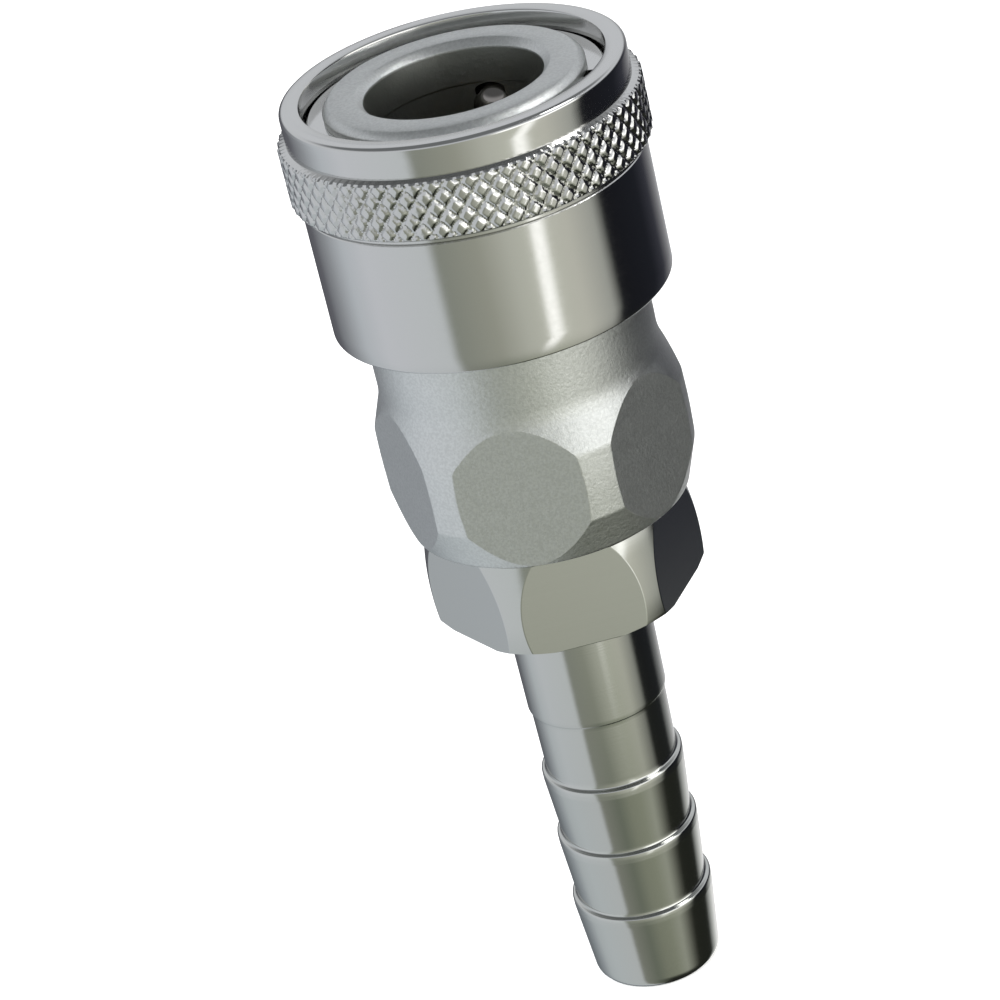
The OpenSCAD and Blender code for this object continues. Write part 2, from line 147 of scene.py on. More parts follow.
def metal(name, hex_colour, roughness, rings, grain, spread=0.04):
    """A plated or bare metal with turning rings along Z and a fine grain all over. rings and grain
    are the width and the depth of their bump in mm. The same patterns vary the roughness by spread."""
    made = bpy.data.materials.new(name)
    made.use_nodes = True
    tree = made.node_tree
    shader = tree.nodes["Principled BSDF"]
    shader.inputs["Base Color"].default_value = linear(hex_colour)
    shader.inputs["Metallic"].default_value = 1.0
    place = node(tree, "ShaderNodeTexCoord")
    stretched = node(tree, "ShaderNodeMapping", {"Vector": place.outputs["Object"]},
                     Scale=(1000.0 / RING_RUN_MM, 1000.0 / RING_RUN_MM, 1000.0 / rings[0]))
    ring_noise = node(tree, "ShaderNodeTexNoise", {"Vector": stretched.outputs["Vector"]},
                      Scale=1.0, Detail=3.0, Roughness=0.6)
    grain_noise = node(tree, "ShaderNodeTexNoise", {"Vector": place.outputs["Object"]},
                       Scale=1000.0 / grain[0], Detail=3.0, Roughness=0.65)
    ring_bump = node(tree, "ShaderNodeBump", {"Height": ring_noise.outputs["Fac"]},
                     Strength=1.0, Distance=rings[1] * MM)
    grain_bump = node(tree, "ShaderNodeBump",
                      {"Height": grain_noise.outputs["Fac"], "Normal": ring_bump.outputs["Normal"]},
                      Strength=1.0, Distance=grain[1] * MM)
    tree.links.new(grain_bump.outputs["Normal"], shader.inputs["Normal"])
    both = node(tree, "ShaderNodeMath", {0: ring_noise.outputs["Fac"], 1: grain_noise.outputs["Fac"]},
                operation="ADD")
    rough = node(tree, "ShaderNodeMapRange", {"Value": both.outputs["Value"]},
                 From_Min=PATTERN_LOW, From_Max=PATTERN_HIGH,
                 To_Min=roughness - spread, To_Max=roughness + spread)
    tree.links.new(rough.outputs["Result"], shader.inputs["Roughness"])
    return made


def solid(name, verts, faces, material, body, replaced):
    """Makes a closed mesh object, shades it and hands it to the frame."""
    mesh = bpy.data.meshes.new(name)
    mesh.from_pydata(verts, [], faces)
    mesh.validate()
    whole = bmesh.new()
    whole.from_mesh(mesh)
    bmesh.ops.remove_doubles(whole, verts=whole.verts, dist=WELD)
    bmesh.ops.recalc_face_normals(whole, faces=whole.faces)
    whole.to_mesh(mesh)
    whole.free()
    mesh.shade_smooth()
    mesh.set_sharp_from_angle(angle=math.radians(SHARP_ANGLE))
    mesh.materials.append(material)
    made = bpy.data.objects.new(name, mesh)
    bpy.context.scene.collection.objects.link(made)
    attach(made, body)
    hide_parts(*replaced)
    return made


def lathe(rows, columns, radius):
    """Vertices and faces of a closed loop of [radius, height] rows turned about Z.
    columns holds each row's angles, and radius(angle, r, z) gives the radius cut from a row's own."""
    verts = []
    for (r, z), angles in zip(rows, columns):
        for a in angles:
            out = radius(a, r, z)
            verts.append((out * math.cos(a), out * math.sin(a), z))
    faces = []
    count = len(rows)
    steps = len(columns[0])
    for i in range(count):
        k = (i + 1) % count
        for j in range(steps):
            n = (j + 1) % steps
            faces.append((i * steps + j, i * steps + n, k * steps + n, k * steps + j))
    return verts, faces


def arc(centre_r, centre_z, r, start, end, parts):
    """Points of an arc in the radius and height plane, in degrees from the outward direction."""
    angles = [math.radians(start + (end - start) * i / parts) for i in range(parts + 1)]
    return [(centre_r + r * math.cos(a), centre_z + r * math.sin(a)) for a in angles]


bright_nickel = metal("bright nickel plate", BRIGHT_HEX, 0.12, rings=(0.05, 0.0004), grain=(0.35, 0.0006))

sleeve_low, sleeve_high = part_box("sleeve")
mouth_z = sleeve_high.z
sleeve_z = sleeve_low.z
knurl_top_z = mouth_z - KNURL_TOP_DROP
knurl_z = knurl_top_z - KNURL_H
guide_z = mouth_z - GUIDE_DROP
spring_top_z = guide_z - GUIDE_H
knurl_rows = round(KNURL_H / KNURL_STEP_H)


def triangle(x):
    """0 in the middle of a knurl groove and 1 halfway to the next."""
    return 1 - 2 * abs(x % 1.0 - 0.5)


def knurl_radius(a, r, z):
    """Two crossing sets of rolled grooves leave diamonds, which the band's two bevels cut off."""
    if not knurl_z < z < knurl_top_z:
        return r
    turn = KNURL_COUNT * a / (2 * math.pi)
    rise = (z - knurl_z) / KNURL_ROW_H
    height = min(triangle(turn + rise), triangle(turn - rise), KNURL_GROOVE) / KNURL_GROOVE
    bevel = min((z - knurl_z) * KNURL_LOW_SLOPE, (knurl_top_z - z) * KNURL_TOP_SLOPE)
    return min(KNURL_R - KNURL_DEPTH * (1 - height), RIM_R + bevel)


sleeve_rows = (
    [(SKIRT_IN_R, sleeve_z + EDGE), (SKIRT_IN_R + EDGE, sleeve_z), (SKIRT_R - EDGE, sleeve_z)]
    + arc(SKIRT_R - EDGE, sleeve_z + EDGE, EDGE, -70, 0, 3)
    + [(SKIRT_R, sleeve_z + (knurl_z - sleeve_z) * k / SKIRT_ROWS) for k in range(1, SKIRT_ROWS)]
    + [(SKIRT_R - depth * MM, knurl_z - drop * MM) for depth, drop in UNDERCUT]
    + [(KNURL_R, knurl_z + KNURL_H * k / knurl_rows) for k in range(1, knurl_rows)]
    + [(RIM_R, knurl_top_z), (RIM_R, knurl_top_z + RIM_FOOT)]
    + [(RIM_R, knurl_top_z + (KNURL_TOP_DROP - RIM_ROUND) * k / RIM_ROWS) for k in range(1, RIM_ROWS)]
    + arc(RIM_R - RIM_ROUND, mouth_z - RIM_ROUND, RIM_ROUND, 0, 90, 6)
    + [(RECESS_R + EDGE, mouth_z), (RECESS_R + EDGE_MIDDLE, mouth_z - EDGE_MIDDLE),
       (RECESS_R, mouth_z - EDGE), (RECESS_R, mouth_z - RECESS_DEPTH),
       (CONE_TOP_R, mouth_z - RECESS_DEPTH), (GUIDE_R, guide_z), (GUIDE_R, spring_top_z),
       (SKIRT_IN_R, spring_top_z)]
)
sleeve_steps = KNURL_COUNT * STEPS_PER_KNURL
sleeve_turn = [2 * math.pi * j / sleeve_steps for j in range(sleeve_steps)]
verts, faces = lathe(sleeve_rows, [sleeve_turn] * len(sleeve_rows), knurl_radius)
solid("sleeve_shell", verts, faces, bright_nickel, "sleeve", ["sleeve"])


# Socket body
# The body is one steel turning with six milled flats on its round barrel. Its nickel plate lies on a
# blasted surface, so it is satin: the bands of the studio blur and a fine speckle shows.
NOSE_R = 9.9 * MM
# The nose's bevel with its broken edges, as [inwards, down] in mm from the corner that it cuts off
NOSE_CORNER = [(0, 0.56), (0.03, 0.48), (0.48, 0.03), (0.56, 0)]
BORE_R = 6.8 * MM
MOUTH_BEVEL = 0.55 * MM
# The mouth's bevel with its broken edges, as [outwards, down] in mm from the corner that it cuts off
MOUTH_CORNER = [(0.61, 0), (0.52, 0.03), (0.02, 0.52), (0, 0.6)]
ENTRY_L = 2.8 * MM
BORE_RELIEF = 0.2 * MM
SEAL_GROOVE_R = 8.6 * MM
SEAL_HALF = 1.5 * MM
SEAL_DROP = 10.9 * MM
SEAL_LAND = 0.6 * MM
SEAT_DROP = 14.7 * MM
SEAT_R = 5.4 * MM
SEAT_L = 1.2 * MM
SEAT_CONE_H = 0.8 * MM
CHAMBER_R = 7.6 * MM
CHAMBER_CONE_H = 0.6 * MM
THREAD_R = 8.25 * MM
THREAD_BEVEL = 0.5 * MM
THREAD_RELIEF = 0.3 * MM
RING_GROOVE_R = 9.2 * MM
RING_PLAY = 0.05 * MM
SEAT_GAP = 0.02 * MM
WAIST_R = 9.5 * MM
WAIST_SPARE = 0.3 * MM
WAIST_BEVEL = 0.5 * MM
NECK_R = 10.9 * MM
NECK_H = 12.0 * MM
NECK_ROUND = 5.0 * MM
NECK_BEVEL = 0.3 * MM
BARREL_END_R = 11.04 * MM
BARREL_FOOT_H = 0.06 * MM
# The broken edge at the barrel's foot, as [inwards, up] in mm
BARREL_CORNER = [(0.15, 0), (0.04, 0.02)]
BARREL_LOW_R = 12.03 * MM
BARREL_LOW_H = 3.2 * MM
BARREL_LOW_ROUND = 0.8 * MM
BARREL_R = 12.12 * MM
BARREL_MID_H = 6.0 * MM
BARREL_MID_ROUND = 40 * MM
BARREL_HIGH_R = 12.03 * MM
BARREL_HIGH_H = 8.7 * MM
BARREL_HIGH_ROUND = 1.6 * MM
BARREL_STEP = 0.15 * MM
FLAT_HALF = 11.05 * MM
FLAT_TURN = -12
# Angles in degrees of the fine columns at a flat's edge, and the columns across a flat and a strip
EDGE_SPREAD = 0.35
LEAST_SPREAD = 0.5
FLAT_STEPS = 20
STRIP_STEPS = 26
LEAST_PARTS = 4
BALL_COUNT = 4
POCKET_R = 2.06 * MM
POCKET_L = 6 * MM
POCKET_STEPS = 48
SATIN_HEX = "D8DAD8"
SPECK_HEX = "CED0CE"
# The blasting grit is about a third of this, and it is drawn coarser so that it shows
SPECK_MM = 0.2
SPECK_EDGE = (0.38, 0.62)
# Painted shade inside the bore: its colour, the radius where it is full, and how far below the mouth it
# fades in
BORE_SHADE_HEX = "949690"
BORE_SHADE_R = BORE_R + 0.4 * MM
BORE_SHADE_BLEND = 0.2 * MM
COLOUR_A = 6
COLOUR_B = 7
COLOUR_OUT = 2


def flat_columns(rows, half, turn):
    """The angles of each row's columns. They crowd at the edges of six flats that lie at the
    distance half, the first one turn degrees from -Y. A row inside the flats keeps its neighbour's."""
    spread = math.degrees(next(math.acos(half / r) for r, z in rows if r > half))
    columns = []
    for r, z in rows:
        if r > half:
            spread = max(math.degrees(math.acos(half / r)), LEAST_SPREAD)
        edge = min(EDGE_SPREAD, spread / 3)
        inner = spread - edge
        outer = 60 - 2 * (spread + edge)
        sector = [-spread] + [inner * (2 * k / FLAT_STEPS - 1) for k in range(FLAT_STEPS + 1)] + [spread]
        sector += [spread + edge + outer * k / STRIP_STEPS for k in range(STRIP_STEPS + 1)]
        columns.append([math.radians(turn - 90 + 60 * n + a) for n in range(6) for a in sector])
    return columns


def flat_radius(a, half, turn):
    """Distance from the axis to the nearest of six flats, whose first one faces turn degrees from -Y."""
    off = (math.degrees(a) + 90 - turn + 30) % 60 - 30
    return half / math.cos(math.radians(off))


def outline(corners, step):
    """Points along straight lines between [radius, height, rounding] corners, with each corner
    rounded to its radius and the points at most step apart."""
    points = []
    last = Vector(corners[0][:2])
    for k in range(1, len(corners)):
        corner = Vector(corners[k][:2])
        rounding = corners[k][2]
        back = (Vector(corners[k - 1][:2]) - corner).normalized()
        stop = [corner]
        if k < len(corners) - 1:
            on = (Vector(corners[k + 1][:2]) - corner).normalized()
            half = back.angle(on) / 2
            reach = rounding / math.tan(half)
            count = max(LEAST_PARTS, round(rounding * (math.pi - 2 * half) / step))
            start = corner + back * reach
            end = corner + on * reach
            centre = corner + (back + on).normalized() * rounding / math.sin(half)
            stop = []
            for j in range(count + 1):
                toward = start.lerp(end, j / count) - centre
                stop.append(centre + toward.normalized() * rounding)
        count = max(1, math.ceil((stop[0] - last).length / step))
        points += [tuple(last.lerp(stop[0], j / count)) for j in range(count)]
        points += [tuple(p) for p in stop[:-1]]
        last = stop[-1]
    return points + [tuple(last)]


def paint(tree, under, over, *edges):
    """Lays one colour over another. Each edge is a value, where on it the paint begins and where it
    is full, and the paint shows only as far as every edge lets it."""
    share = None
    for value, begins, full in edges:
        edge = node(tree, "ShaderNodeMapRange", {"Value": value}, interpolation_type="SMOOTHSTEP",
                    From_Min=begins, From_Max=full).outputs["Result"]
        if share is not None:
            edge = node(tree, "ShaderNodeMath", {0: share, 1: edge}, operation="MULTIPLY").outputs["Value"]
        share = edge
    mixed = node(tree, "ShaderNodeMix", {"Factor": share, COLOUR_A: under, COLOUR_B: over}, data_type="RGBA")
    return mixed.outputs[COLOUR_OUT]


satin_nickel = metal("satin nickel plate", SATIN_HEX, 0.42, rings=(0.08, 0.0004), grain=(0.3, 0.03),
                     spread=0.08)

body_low, body_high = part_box("socket_body")
body_z = body_low.z
face_z = body_high.z
adapter_top_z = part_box("hose_adapter")[1].z
ring_low, ring_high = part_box("stop_ring")
spring_low, spring_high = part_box("sleeve_spring")
ball_z = (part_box("lock_ball_1")[0].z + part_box("lock_ball_1")[1].z) / 2
seat_z = face_z - SEAT_DROP
seal_z = face_z - SEAL_DROP
entry_z = face_z - MOUTH_BEVEL - ENTRY_L

# Painted shade: the base colour is painted darker inside the bore, for the shade that falls in it
tree = satin_nickel.node_tree
place = node(tree, "ShaderNodeTexCoord")
across = node(tree, "ShaderNodeVectorMath", {0: place.outputs["Object"], 1: (1, 1, 0)}, operation="MULTIPLY")
radius = node(tree, "ShaderNodeVectorMath", {0: across.outputs["Vector"]}, operation="LENGTH")
along = node(tree, "ShaderNodeSeparateXYZ", {"Vector": place.outputs["Object"]})
speck = node(tree, "ShaderNodeTexNoise", {"Vector": place.outputs["Object"]},
             Scale=1000.0 / SPECK_MM, Detail=4.0)
speckled = paint(tree, linear(SPECK_HEX), linear(SATIN_HEX), (speck.outputs["Fac"], *SPECK_EDGE))
plate = paint(tree, speckled, linear(BORE_SHADE_HEX),
              (radius.outputs["Value"], BORE_R + MOUTH_BEVEL, BORE_SHADE_R),
              (along.outputs["Z"], face_z - MOUTH_BEVEL, face_z - MOUTH_BEVEL - BORE_SHADE_BLEND))
tree.links.new(plate, tree.nodes["Principled BSDF"].inputs["Base Color"])


def body_radius(a, r, z):
    """Six flats cut into the barrel."""
    return min(r, flat_radius(a, FLAT_HALF, FLAT_TURN)) if r > FLAT_HALF else r


barrel_rows = outline([
    (BARREL_END_R, body_z + BARREL_FOOT_H, 0), (BARREL_LOW_R, body_z + BARREL_LOW_H, BARREL_LOW_ROUND),
    (BARREL_R, body_z + BARREL_MID_H, BARREL_MID_ROUND),
    (BARREL_HIGH_R, body_z + BARREL_HIGH_H, BARREL_HIGH_ROUND),
    (NECK_R, body_z + NECK_H, NECK_ROUND), (NECK_R, spring_low.z - NECK_BEVEL, 0)], BARREL_STEP)
body_rows = (
    [(THREAD_R, adapter_top_z + THREAD_RELIEF), (THREAD_R, body_z + THREAD_BEVEL),
     (THREAD_R + THREAD_BEVEL, body_z)]
    + [(BARREL_END_R - inwards * MM, body_z + up * MM) for inwards, up in BARREL_CORNER]
    + barrel_rows
    + [(NECK_R - NECK_BEVEL, spring_low.z - SEAT_GAP), (WAIST_R, spring_low.z - SEAT_GAP),
       (WAIST_R, spring_high.z + WAIST_SPARE), (NOSE_R, spring_high.z + WAIST_SPARE + WAIST_BEVEL),
       (NOSE_R, ring_low.z - RING_PLAY), (RING_GROOVE_R, ring_low.z - RING_PLAY),
       (RING_GROOVE_R, ring_high.z + SEAT_GAP), (NOSE_R, ring_high.z + SEAT_GAP)]
    + [(NOSE_R - inwards * MM, face_z - down * MM) for inwards, down in NOSE_CORNER]
    + [(BORE_R + outwards * MM, face_z - down * MM) for outwards, down in MOUTH_CORNER]
    + [(BORE_R, entry_z), (BORE_R + BORE_RELIEF, entry_z - BORE_RELIEF),
       (BORE_R + BORE_RELIEF, seal_z + SEAL_HALF + SEAL_LAND + BORE_RELIEF),
       (BORE_R, seal_z + SEAL_HALF + SEAL_LAND), (BORE_R, seal_z + SEAL_HALF),
       (SEAL_GROOVE_R, seal_z + SEAL_HALF), (SEAL_GROOVE_R, seal_z - SEAL_HALF),
       (BORE_R, seal_z - SEAL_HALF), (BORE_R, seat_z + SEAT_L + SEAT_CONE_H),
       (SEAT_R, seat_z + SEAT_L), (SEAT_R, seat_z), (CHAMBER_R, seat_z),
       (CHAMBER_R, adapter_top_z + THREAD_RELIEF + CHAMBER_CONE_H)]
)
verts, faces = lathe(body_rows, flat_columns(body_rows, FLAT_HALF, FLAT_TURN), body_radius)
body_shell = solid("body_shell", verts, faces, satin_nickel, "body", ["socket_body"])

# The ball pockets are drilled through the nose from outside
drills = bmesh.new()
for k in range(1, BALL_COUNT + 1):
    low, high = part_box(f"lock_ball_{k}")
    middle = (low + high) / 2
    outward = Vector((middle.x, middle.y, 0)).normalized()
    turn = outward.to_track_quat("Z", "Y").to_matrix().to_4x4()
    drilled = Matrix.Translation(outward * NOSE_R + Vector((0, 0, ball_z))) @ turn
    bmesh.ops.create_cone(drills, cap_ends=True, segments=POCKET_STEPS, radius1=POCKET_R,
                          radius2=POCKET_R, depth=POCKET_L, matrix=drilled)
drill_mesh = bpy.data.meshes.new("pocket_drills")
drills.to_mesh(drill_mesh)
drills.free()
drill = bpy.data.objects.new("pocket_drills", drill_mesh)
bpy.context.scene.collection.objects.link(drill)
cut = body_shell.modifiers.new("pockets", "BOOLEAN")
cut.operation = "DIFFERENCE"
cut.object = drill
cut.solver = "EXACT"
bpy.context.view_layer.update()
cut_mesh = bpy.data.meshes.new_from_object(body_shell.evaluated_get(bpy.context.evaluated_depsgraph_get()))
body_shell.modifiers.clear()
body_shell.data = cut_mesh
bpy.data.objects.remove(drill)


# Hose adapter
# The adapter is turned from hexagon bar: the hexagon, a tapered stem and three barbs that grip the
# hose. It is plated like the sleeve, over coarser turning marks.
AIR_R = 3.6 * MM
AIR_BEVEL = 0.4 * MM
TIP_R = 5.15 * MM
TIP_ROUND = 0.7 * MM
BARB_R = 5.78 * MM
ROOT_R = 5.36 * MM
BARB_TIP_L = 7.5 * MM
BARB_PITCH = 6.25 * MM
BARB_COUNT = 3
BARB_LAND = 0.8 * MM
BARB_LAND_ROUND = 2 * MM
BARB_BEVEL = 0.17 * MM
BARB_ROOT = 0.22 * MM
BARB_STEP = 0.35 * MM
STEM_L = 15.9 * MM
STEM_R = 5.74 * MM
STEM_COLLAR_L = 9.8 * MM
STEM_TAPER = 0.1 * MM
STEM_STEP_H = 0.15 * MM
STEM_STEP_ROUND = 0.05 * MM
STEM_ROUND = 0.1 * MM
STEM_FOOT_H = 0.25 * MM
STEM_FOOT = 0.1 * MM
HEX_HALF = 9.75 * MM
HEX_TURN = 1.5
HEX_L = 7.9 * MM
HEX_CORNER_R = 10.85 * MM
HEX_ARC_R = 22 * MM
HEX_MID_H = 2.6 * MM
HEX_BEVEL = 0.85 * MM
HEX_BEVEL_H = 0.5 * MM
HEX_BEVEL_ROWS = 6
HEX_EDGE = 0.08 * MM
HEX_ROWS = 32
COLLAR_R = 9.3 * MM
SPIGOT_R = 8.2 * MM
SPIGOT_RELIEF = 0.3 * MM
SPIGOT_BEVEL = 0.5 * MM
GROOVE_RISE = 0.8 * MM
GROOVE_H = 1.2 * MM
SEAL_WIRE = 1.0 * MM
SEAL_PLAY = 0.05 * MM
FUNNEL_R = 6.9 * MM
TURNED_HEX = "C4C5C1"

turned_nickel = metal("turned nickel plate", TURNED_HEX, 0.13, rings=(0.12, 0.0018), grain=(0.25, 0.0008))

first_shoulder_z = BARB_TIP_L + (BARB_COUNT - 1) * BARB_PITCH
hex_z = first_shoulder_z + STEM_L
hex_top_z = hex_z + HEX_L
stem_mid_z = hex_z - STEM_COLLAR_L
groove_z = hex_top_z + GROOVE_RISE
groove_r = SPIGOT_R - SEAL_WIRE - SEAL_PLAY


def adapter_radius(a, r, z):
    """Six flats cut the hexagon, whose ends are broken by a fine bevel."""
    if r < HEX_HALF:
        return r
    trim = max(HEX_EDGE - (z - hex_z), HEX_EDGE - (hex_top_z - z), 0)
    return min(r, flat_radius(a, HEX_HALF, HEX_TURN)) - trim


def hex_corner_radius(h):
    """The corners' rounded outline at a height above the hexagon's lower face, with its lower bevel."""
    turned = HEX_CORNER_R - HEX_ARC_R + math.sqrt(HEX_ARC_R ** 2 - (h - HEX_MID_H) ** 2)
    return min(turned, HEX_CORNER_R - HEX_BEVEL + h * HEX_BEVEL / HEX_BEVEL_H)


bevel_run = HEX_BEVEL_H - HEX_EDGE
side_run = HEX_L - HEX_EDGE - HEX_BEVEL_H
hex_heights = (
    [0, HEX_EDGE] + [HEX_EDGE + bevel_run * k / HEX_BEVEL_ROWS for k in range(1, HEX_BEVEL_ROWS + 1)]
    + [HEX_BEVEL_H + side_run * k / HEX_ROWS for k in range(1, HEX_ROWS + 1)] + [HEX_L])
barb_corners = [(AIR_R + AIR_BEVEL, 0, 0), (TIP_R, 0, TIP_ROUND)]
for k in range(BARB_COUNT):
    z = BARB_TIP_L + k * BARB_PITCH
    barb_corners += [
        (BARB_R, z - BARB_LAND, BARB_LAND_ROUND), (BARB_R, z, BARB_BEVEL), (ROOT_R, z, BARB_ROOT)]
barb_corners += [
    (ROOT_R + STEM_TAPER, stem_mid_z - STEM_STEP_H, STEM_STEP_ROUND),
    (STEM_R - STEM_TAPER, stem_mid_z, STEM_ROUND), (STEM_R, hex_z - STEM_FOOT_H, STEM_ROUND),
    (STEM_R + STEM_FOOT, hex_z, 0)]
adapter_rows = (
    [(AIR_R, AIR_BEVEL)] + outline(barb_corners, BARB_STEP)
    + [(hex_corner_radius(h), hex_z + h) for h in hex_heights]
    + [(COLLAR_R, hex_top_z), (COLLAR_R, body_z), (SPIGOT_R - SPIGOT_RELIEF, body_z),
       (SPIGOT_R - SPIGOT_RELIEF, groove_z), (groove_r, groove_z), (groove_r, groove_z + GROOVE_H),
       (SPIGOT_R, groove_z + GROOVE_H), (SPIGOT_R, adapter_top_z - SPIGOT_BEVEL),
       (SPIGOT_R - SPIGOT_BEVEL, adapter_top_z), (FUNNEL_R, adapter_top_z),
       (AIR_R, adapter_top_z - FUNNEL_R + AIR_R)])
verts, faces = lathe(adapter_rows, flat_columns(adapter_rows, HEX_HALF, HEX_TURN), adapter_radius)
solid("adapter_shell", verts, faces, turned_nickel, "body", ["hose_adapter"])


# Stop ring
# An open ring of spring steel that snaps into the nose's groove. It is plated like the sleeve, so it
# mirrors the studio as brightly.


def coat(piece, material):
    """Gives a piece one material all over."""
    piece.data.materials.clear()
    piece.data.materials.append(material)


coat(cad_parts["stop_ring"], bright_nickel)


# Lock balls
# Hardened bearing steel balls, ground and lapped to a mirror. Their colour is painted darker than bare
# steel, as painted shade for where they sit deep in the mouth.
# The balls' colour, darkened as painted shade
BALL_SHADED_HEX = "8C8884"

ball_steel = metal("lapped ball steel", BALL_SHADED_HEX, 0.12, rings=(0.3, 0.0001), grain=(0.3, 0.0002),
                   spread=0.02)
for k in range(1, BALL_COUNT + 1):
    coat(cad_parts[f"lock_ball_{k}"], ball_steel)


# Springs
# Drawn stainless spring wire, left as drawn: grey, with fine lines.
WIRE_HEX = "8E9094"

spring_steel = metal("drawn spring wire", WIRE_HEX, 0.28, rings=(0.1, 0.0006), grain=(0.2, 0.0008))
for name, still, moving in (
        ("sleeve_spring", "spring_follower", "sleeve"), ("valve_spring", "body", "valve")):
    low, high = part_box(name)
    coil = bpy.data.objects.new(f"{name}_wire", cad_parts[name].data.copy())
    coat(coil, spring_steel)
    bpy.context.scene.collection.objects.link(coil)
    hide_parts(name)
    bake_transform(coil)


# Valve and guide
# The poppet and its guide are turned brass, which the dry air keeps clean and bright. The turning
# lines show as rings on the poppet's nose.
BRASS_HEX = "C9A45C"

brass = metal("turned brass", BRASS_HEX, 0.2, rings=(0.1, 0.0015), grain=(0.3, 0.0006))
for name in ("valve", "valve_guide"):
    coat(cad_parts[name], brass)


# Seals
# Moulded nitrile rubber, black and half matt, with the faint grain of the mould. The plug's seal
# shows as a dark ring below the balls.
RUBBER_HEX = "1C1C1E"
RUBBER_ROUGHNESS = 0.55
RUBBER_GRAIN_MM = 0.25
RUBBER_GRAIN_DEPTH = 0.01 * MM

rubber = bpy.data.materials.new("moulded nitrile rubber")
rubber.use_nodes = True
tree = rubber.node_tree
shader = tree.nodes["Principled BSDF"]
shader.inputs["Base Color"].default_value = linear(RUBBER_HEX)
shader.inputs["Roughness"].default_value = RUBBER_ROUGHNESS
place = node(tree, "ShaderNodeTexCoord")
grain = node(tree, "ShaderNodeTexNoise", {"Vector": place.outputs["Object"]},
             Scale=1000.0 / RUBBER_GRAIN_MM, Detail=3.0)
grain_bump = node(tree, "ShaderNodeBump", {"Height": grain.outputs["Fac"]},
                  Strength=1.0, Distance=RUBBER_GRAIN_DEPTH)
tree.links.new(grain_bump.outputs["Normal"], shader.inputs["Normal"])
for name in ("plug_seal", "valve_seal", "adapter_seal"):
    coat(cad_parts[name], rubber)


# Studio floor and lamps
# A white paper sweep under two soft lamps. The paper glows a little for the camera, which keeps it
# white behind the coupler and leaves the coupler's shadow on it.
FLOOR_HALF = 3.0
PAPER_HEX = "F2F2F2"
PAPER_ROUGHNESS = 0.9
PAPER_GLOW = 0.45
WORLD_POWER = 0.8
LAMPS_LOOK_AT = Vector((0, 0, 40)) * MM

floor_mesh = bpy.data.meshes.new("floor")
floor_corners = [(-FLOOR_HALF, -FLOOR_HALF, 0), (FLOOR_HALF, -FLOOR_HALF, 0),
                 (FLOOR_HALF, FLOOR_HALF, 0), (-FLOOR_HALF, FLOOR_HALF, 0)]
floor_mesh.from_pydata(floor_corners, [], [(0, 1, 2, 3)])
floor = bpy.data.objects.new("floor", floor_mesh)
floor.visible_glossy = False
bpy.context.scene.collection.objects.link(floor)
floor_paper = bpy.data.materials.new("white paper sweep")
floor_paper.use_nodes = True
tree = floor_paper.node_tree
paper = tree.nodes["Principled BSDF"]
paper.inputs["Base Color"].default_value = linear(PAPER_HEX)
paper.inputs["Roughness"].default_value = PAPER_ROUGHNESS
rays = node(tree, "ShaderNodeLightPath")
seen = node(tree, "ShaderNodeMath", {0: rays.outputs["Is Camera Ray"], 1: rays.outputs["Is Glossy Ray"]},
            operation="MAXIMUM")
seen_too = node(tree, "ShaderNodeMath", {0: seen.outputs["Value"], 1: rays.outputs["Is Transmission Ray"]},
                operation="MAXIMUM")
glow = node(tree, "ShaderNodeEmission", Color=(1, 1, 1, 1), Strength=PAPER_GLOW)
lit = node(tree, "ShaderNodeAddShader", {0: paper.outputs["BSDF"], 1: glow.outputs["Emission"]})
choice = node(tree, "ShaderNodeMixShader", {0: seen_too.outputs["Value"], 1: paper.outputs["BSDF"],
                                            2: lit.outputs["Shader"]})
tree.links.new(choice.outputs["Shader"], tree.nodes["Material Output"].inputs["Surface"])
floor_mesh.materials.append(floor_paper)

world = bpy.data.worlds.new("studio")
bpy.context.scene.world = world
world.use_nodes = True
world.node_tree.nodes["Background"].inputs["Color"].default_value = (1, 1, 1, 1)
world.node_tree.nodes["Background"].inputs["Strength"].default_value = WORLD_POWER


def lamp(name, place_m, size_m, watts, colour):
    """A soft square lamp that looks at the middle of the coupler."""
    made = bpy.data.objects.new(name, bpy.data.lights.new(name, "AREA"))
    bpy.context.scene.collection.objects.link(made)
    made.data.size = size_m
    made.data.energy = watts
    made.data.color = linear(colour)[:3]
    made.location = place_m
    made.rotation_euler = (LAMPS_LOOK_AT - Vector(place_m)).to_track_quat("-Z", "Y").to_euler()
    made.visible_glossy = False


lamp("key_lamp", (-0.5, -0.5, 0.7), 0.6, 6, "F4F8FF")
lamp("fill_lamp", (0.6, -0.3, 0.5), 0.6, 2.5, "FFFAF0")


# Light tent
# A cloth tent that only the metal mirrors: pale panels to the left and in front, dark ones to the
# right, two white cards, the table's dark side below them and a small lamp above.
TENT_R = 0.6
TENT_Z = 50 * MM
# Bearings round the tent in degrees from the front, positive to the right, with the panels' colours
# at the coupler's height and near the table
PANELS = [
    (-180, "4A4B50", "646A6E"), (-150, "6C6D74", "80868B"), (-130, "A6AAB0", "A6ADB4"),
    (-110, "D8DEE5", "CFD6DB"), (-90, "E9ECF3", "D8DFE4"), (-43, "E4E9EC", "DBDFE2"),
    (-37, "9FA399", "96988F"), (-10, "B4B6A9", "7F8578"), (10, "D6D8CC", "989C8B"),
    (30, "E2E4D6", "A0A492"), (50, "E0E0D4", "B3B6A8"), (71, "BEC0B9", "606159"),
    (80, "1C1D22", "2C2E28"), (118, "25272E", "2A2C28"), (135, "40414A", "D0D2D0"),
    (150, "88888C", "FFFFFF"), (180, "D0D2D4", "FFFFFF")]
